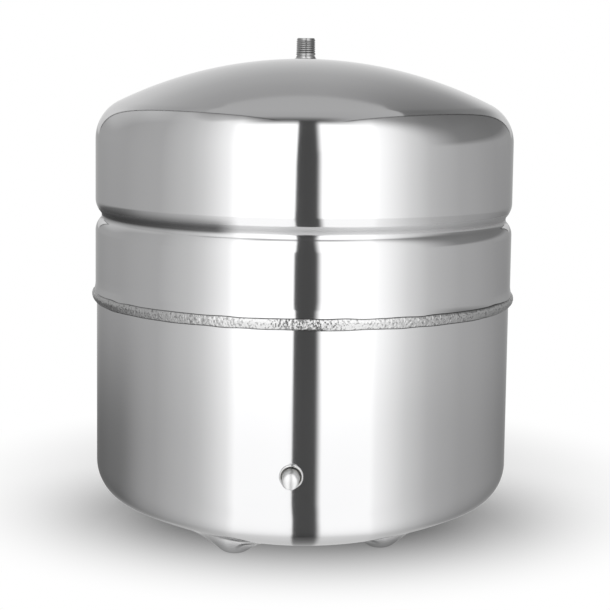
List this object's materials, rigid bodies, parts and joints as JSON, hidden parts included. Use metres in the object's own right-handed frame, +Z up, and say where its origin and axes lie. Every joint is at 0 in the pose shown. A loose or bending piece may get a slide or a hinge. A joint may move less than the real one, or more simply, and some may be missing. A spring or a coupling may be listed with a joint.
{
  "type": "reverse osmosis tank",
  "caption": "Upright round stainless pressure tank for reverse osmosis water, with domed ends, a clench groove, a girth weld, pressed feet, a top nipple and an air valve low on its side.",
  "frame": {"origin": "middle of the whole part's footprint, on the floor under the feet; the tank's own axis stands 6.35 mm behind it, towards +Y, because the air valve's cap reaches out in front", "axes": "+Z up along the tank's axis and the water nipple, -Y out through the air valve, +X to the right when the valve is faced"},
  "size_m": [0.2848, 0.2975, 0.3424],
  "materials": {
    "stainless": "bright polished stainless sheet with fine brush lines",
    "weld_bead": "rippled, cleaned weld bead",
    "turned_stainless": "turned stainless with cut thread",
    "zinc_hoop": "plain rolled steel",
    "liner": "natural polypropylene",
    "butyl": "moulded butyl rubber",
    "seal_rubber": "plain black rubber",
    "nickel_brass": "nickel plated brass",
    "core_brass": "plain turned brass",
    "spring_steel": "spring wire",
    "cap_chrome": "bright plated cap"
  },
  "bodies": {
    "tank": {"upper_shell": "stainless", "lower_shell": "stainless", "girth_weld": "weld_bead", "nipple_weld": "weld_bead", "water_nipple": "turned_stainless", "liner": "liner", "liner_seal": "seal_rubber", "diaphragm": "butyl", "clench_ring": "zinc_hoop", "valve_boss": "turned_stainless", "valve_stem": "nickel_brass", "stem_seal": "seal_rubber", "core_swivel": "core_brass", "core_barrel": "core_brass", "core_gasket": "seal_rubber", "core_spring": "spring_steel"},
    "cap_seal": {"cap_gasket": "seal_rubber"},
    "cap": {"valve_cap": "cap_chrome"},
    "valve_pin": {"core_pin": "core_brass", "core_washer": "seal_rubber"}
  },
  "joints": [
    {"name": "cap_travel", "type": "slide", "parent": "tank", "child": "cap_seal", "axis": [0, -1, 0], "range_m": [0, 0.00635]},
    {"name": "cap_turn", "type": "hinge", "parent": "cap_seal", "child": "cap", "pos_m": [0, -0.14875, 0.075], "axis": [0, -1, 0], "range_deg": [0, 2880]},
    {"name": "pin_press", "type": "slide", "parent": "tank", "child": "valve_pin", "axis": [0, 1, 0], "range_m": [0, 0.0012], "stiffness_N_per_m": 1500, "springref_m": -0.001, "deforming": ["core_spring"]}
  ],
  "couplings": [
    {"joint": "cap_turn", "follows": "cap_travel", "rad_per_m": 7915.8}
  ]
}
